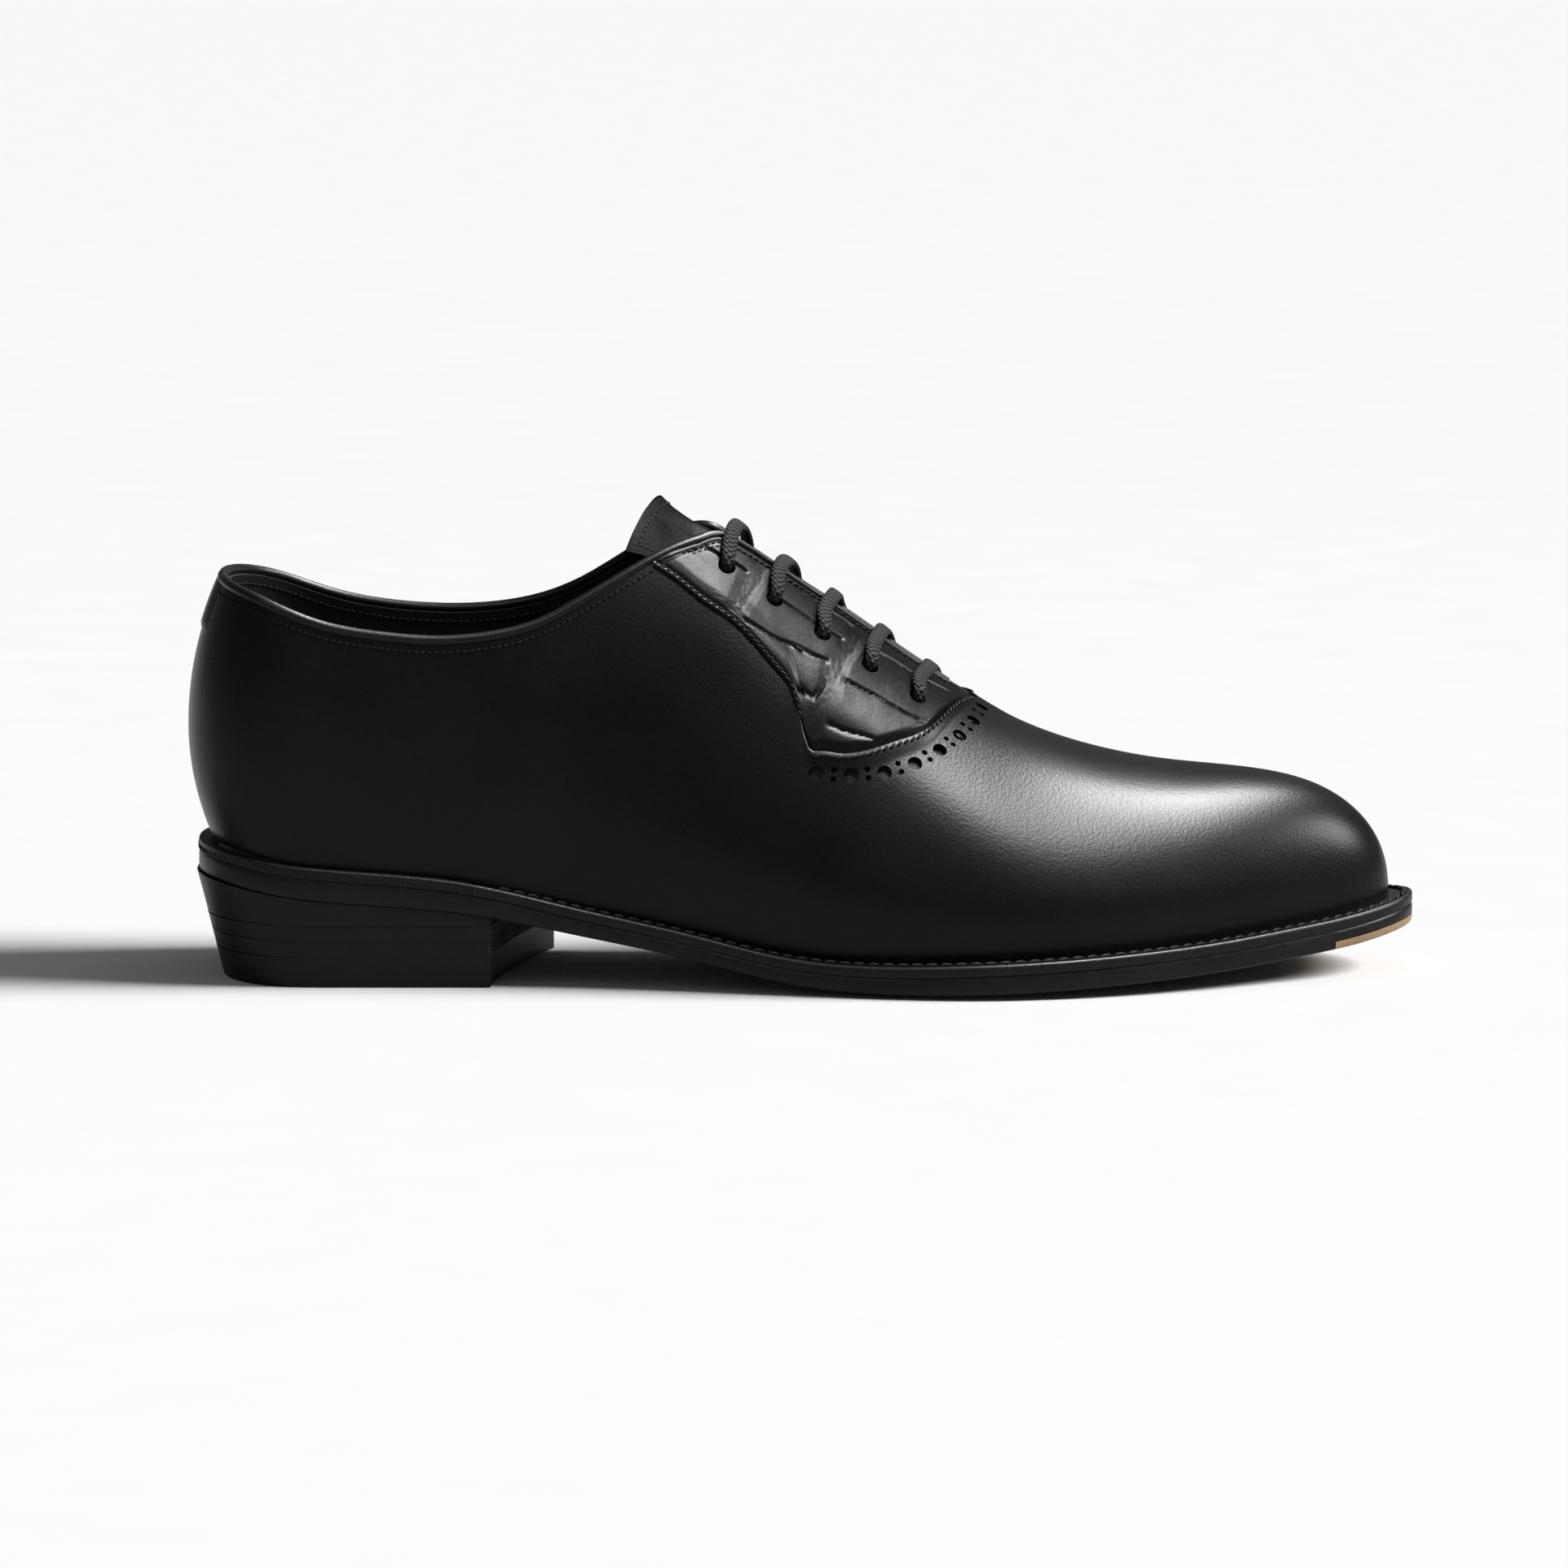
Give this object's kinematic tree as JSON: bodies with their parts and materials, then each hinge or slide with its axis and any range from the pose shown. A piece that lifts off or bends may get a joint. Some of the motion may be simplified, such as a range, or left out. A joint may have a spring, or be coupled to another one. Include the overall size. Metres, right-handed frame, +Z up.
{
  "type": "leather oxford shoe",
  "caption": "Right black leather oxford shoe with crocodile facings, punched vamp edge, straight bar lacing, welted leather sole and stacked heel.",
  "frame": {"origin": "centre of the underside of the heel's rubber top piece", "axes": "+X towards the toe, +Y towards the inner (medial) side of the foot, +Z up; the shoe stands on z = 0"},
  "size_m": [0.3058, 0.102, 0.1186],
  "materials": {
    "calf": "fine-grained black calf, polished satin",
    "crocodile": "glossy black crocodile with large scales and dark grooves",
    "sole_leather": "black dyed and burnished edge",
    "toe_piece_leather": "plain tan leather, matt",
    "heel_leather": "stacked leather, sides blacked, breast rough",
    "rubber": "matt black",
    "brass": "plain pin heads",
    "steel": "dull spring steel",
    "cork": "granulated cork paste, matt",
    "canvas": "glued canvas rib",
    "insole_leather": "plain vegetable-tanned leather, matt",
    "lining_leather": "smooth black lining leather, matt",
    "stiffener": "leather board",
    "thread": "waxed black thread",
    "eyelet_metal": "black lacquered rings",
    "braid": "flat woven waxed cotton, matt",
    "aglet_plastic": "black, smooth"
  },
  "bodies": {
    "shoe": {"outsole": "sole_leather", "toe_piece": "toe_piece_leather", "welt": "sole_leather", "heel_rand": "sole_leather", "welt_stitching": "thread", "heel_lift_upper": "heel_leather", "heel_lift_middle": "heel_leather", "heel_lift_lower": "heel_leather", "heel_top_piece": "rubber", "heel_pins": "brass", "shank": "steel", "cork_filler": "cork", "insole_rib": "canvas", "insole": "insole_leather", "heel_sock": "lining_leather", "upper_wholecut": "calf", "facing_lateral": "crocodile", "facing_medial": "crocodile", "back_strip": "calf", "topline_piping": "calf", "facing_piping_lateral": "calf", "facing_piping_medial": "calf", "heel_counter": "stiffener", "toe_puff": "stiffener", "quarter_lining": "lining_leather", "vamp_lining": "lining_leather", "blind_eyelets": "eyelet_metal", "lace": "braid", "aglets": "aglet_plastic"},
    "tongue_flap": {"tongue": "calf", "tongue_lining": "lining_leather"}
  },
  "joints": [
    {"name": "tongue_fold", "type": "hinge", "parent": "shoe", "child": "tongue_flap", "pos_m": [0.151, 0.0055, 0.0615], "axis": [0, -1, 0], "range_deg": [0, 12]}
  ]
}
